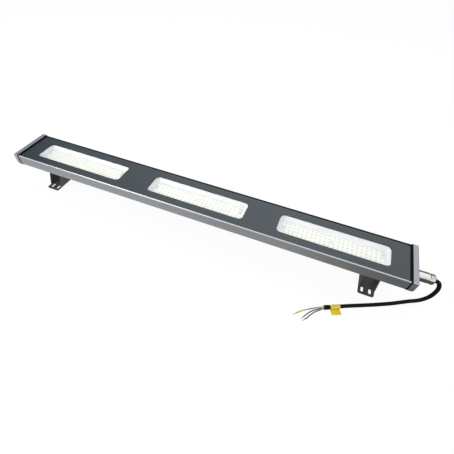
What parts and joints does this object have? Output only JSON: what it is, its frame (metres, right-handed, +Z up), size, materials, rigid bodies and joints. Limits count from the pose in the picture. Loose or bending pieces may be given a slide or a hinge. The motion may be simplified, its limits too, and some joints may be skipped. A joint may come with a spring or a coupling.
{
  "type": "led flood light",
  "caption": "Long linear LED flood light: aluminium housing with a windowed cover glass, end caps, cable gland and two tilting, sliding sheet feet.",
  "frame": {"origin": "on the surface that the feet stand on, below the middle of the housing", "axes": "+X along the light towards the cable gland, +Z up through the cover glass, +Y away from the cable's free end"},
  "size_m": [1.2709, 0.2498, 0.1315],
  "materials": {
    "anodised_aluminium": "satin anodised, fine die lines",
    "cast_cap": "satin sprayed casting",
    "black_rubber": "matt",
    "clear_glass": "clear tempered",
    "slate_print": "slate-grey print behind the glass",
    "white_reflector": "matt white",
    "white_board": "white solder resist with yellow phosphor chips",
    "bright_steel": "zinc plated",
    "dark_grey_paint": "dark grey powder coat",
    "nickel_plate": "bright nickel plate",
    "driver_case": "potted case",
    "terminal_plastic": "moulded",
    "yellow_tag": "vinyl flag, bare",
    "green_yellow_core": "core insulation",
    "blue_core": "core insulation",
    "brown_core": "core insulation"
  },
  "bodies": {
    "housing": {"housing": "anodised_aluminium", "led_board_1": "anodised_aluminium", "led_board_2": "anodised_aluminium", "led_board_3": "anodised_aluminium", "end_cap_left": "cast_cap", "end_cap_right": "cast_cap", "end_gasket_left": "black_rubber", "end_gasket_right": "black_rubber", "glass_seal": "black_rubber", "gland_insert": "black_rubber", "gland_washer": "black_rubber", "supply_cable": "black_rubber", "inner_supply_lead": "black_rubber", "cable_sleeve": "black_rubber", "end_cap_screw_left_1": "bright_steel", "end_cap_screw_left_2": "bright_steel", "end_cap_screw_left_3": "bright_steel", "end_cap_screw_left_4": "bright_steel", "end_cap_screw_right_1": "bright_steel", "end_cap_screw_right_2": "bright_steel", "end_cap_screw_right_3": "bright_steel", "end_cap_screw_right_4": "bright_steel", "cover_glass": "clear_glass", "glass_print": "slate_print", "reflector_tray_1": "white_reflector", "led_array_1": "white_board", "reflector_tray_2": "white_reflector", "led_array_2": "white_board", "reflector_tray_3": "white_reflector", "led_array_3": "white_board", "led_driver_left": "driver_case", "led_driver_right": "driver_case", "terminal_block": "terminal_plastic", "board_supply_lead": "white_reflector", "driver_link_lead": "white_reflector", "gland_body": "nickel_plate", "gland_lock_nut": "nickel_plate", "cable_tag": "yellow_tag", "core_earth": "green_yellow_core", "core_neutral": "blue_core", "core_live": "brown_core"},
    "saddle_left": {"saddle_left": "dark_grey_paint", "slide_bolt_left_1": "bright_steel", "slide_bolt_left_2": "bright_steel", "slide_nut_left_1": "bright_steel", "slide_nut_left_2": "bright_steel"},
    "saddle_right": {"saddle_right": "dark_grey_paint", "slide_bolt_right_1": "bright_steel", "slide_bolt_right_2": "bright_steel", "slide_nut_right_1": "bright_steel", "slide_nut_right_2": "bright_steel"},
    "foot_left": {"foot_left": "dark_grey_paint", "pivot_bolt_left": "bright_steel", "pivot_nut_left": "bright_steel"},
    "foot_right": {"foot_right": "dark_grey_paint", "pivot_bolt_right": "bright_steel", "pivot_nut_right": "bright_steel"},
    "gland_nut": {"gland_dome_nut": "nickel_plate"}
  },
  "joints": [
    {"name": "slide_left", "type": "slide", "parent": "housing", "child": "saddle_left", "axis": [1, 0, 0], "range_m": [-0.026, 0.15]},
    {"name": "tilt_left", "type": "hinge", "parent": "saddle_left", "child": "foot_left", "pos_m": [-0.52, 0, 0.068], "axis": [1, 0, 0], "range_deg": [-85, 85]},
    {"name": "slide_right", "type": "slide", "parent": "housing", "child": "saddle_right", "axis": [1, 0, 0], "range_m": [-0.15, 0]},
    {"name": "tilt_right", "type": "hinge", "parent": "saddle_right", "child": "foot_right", "pos_m": [0.52, 0, 0.068], "axis": [1, 0, 0], "range_deg": [-85, 85]},
    {"name": "gland_nut_turn", "type": "hinge", "parent": "housing", "child": "gland_nut", "pos_m": [0.6, -0.016, 0.1104], "axis": [1, 0, 0], "continuous": true}
  ]
}
